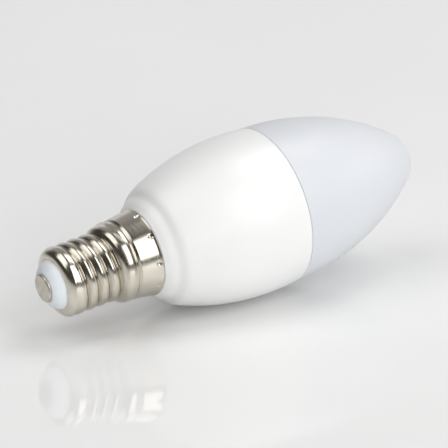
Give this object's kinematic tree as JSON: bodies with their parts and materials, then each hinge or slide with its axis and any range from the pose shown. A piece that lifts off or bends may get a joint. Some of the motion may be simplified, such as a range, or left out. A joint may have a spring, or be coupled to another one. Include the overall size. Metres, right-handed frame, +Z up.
{
  "type": "candle bulb",
  "caption": "Candle-shaped LED lamp with a small Edison screw cap, a white flared housing and a pointed milky diffuser, lying on its belly.",
  "frame": {"origin": "centre of the contact's flat end face, on the lamp's axis", "axes": "+X level along the lamp from the cap to the tip, +Z up with the lamp lying on its belly, +Y to its left; the lamp's own axis dips 7.15 degrees to the cap"},
  "size_m": [0.1017, 0.0386, 0.0398],
  "materials": {
    "contact_metal": "dull nickel plate on brass",
    "insulator_plastic": "moulded, bluish white",
    "nickel_plate": "bright nickel plate",
    "white_housing": "smooth moulding, soft gloss",
    "milky_diffuser": "frosted, milky white"
  },
  "bodies": {
    "root": {"centre_contact": "contact_metal", "tip_insulator": "insulator_plastic", "screw_shell": "nickel_plate", "housing": "white_housing", "diffuser": "milky_diffuser"}
  },
  "joints": []
}
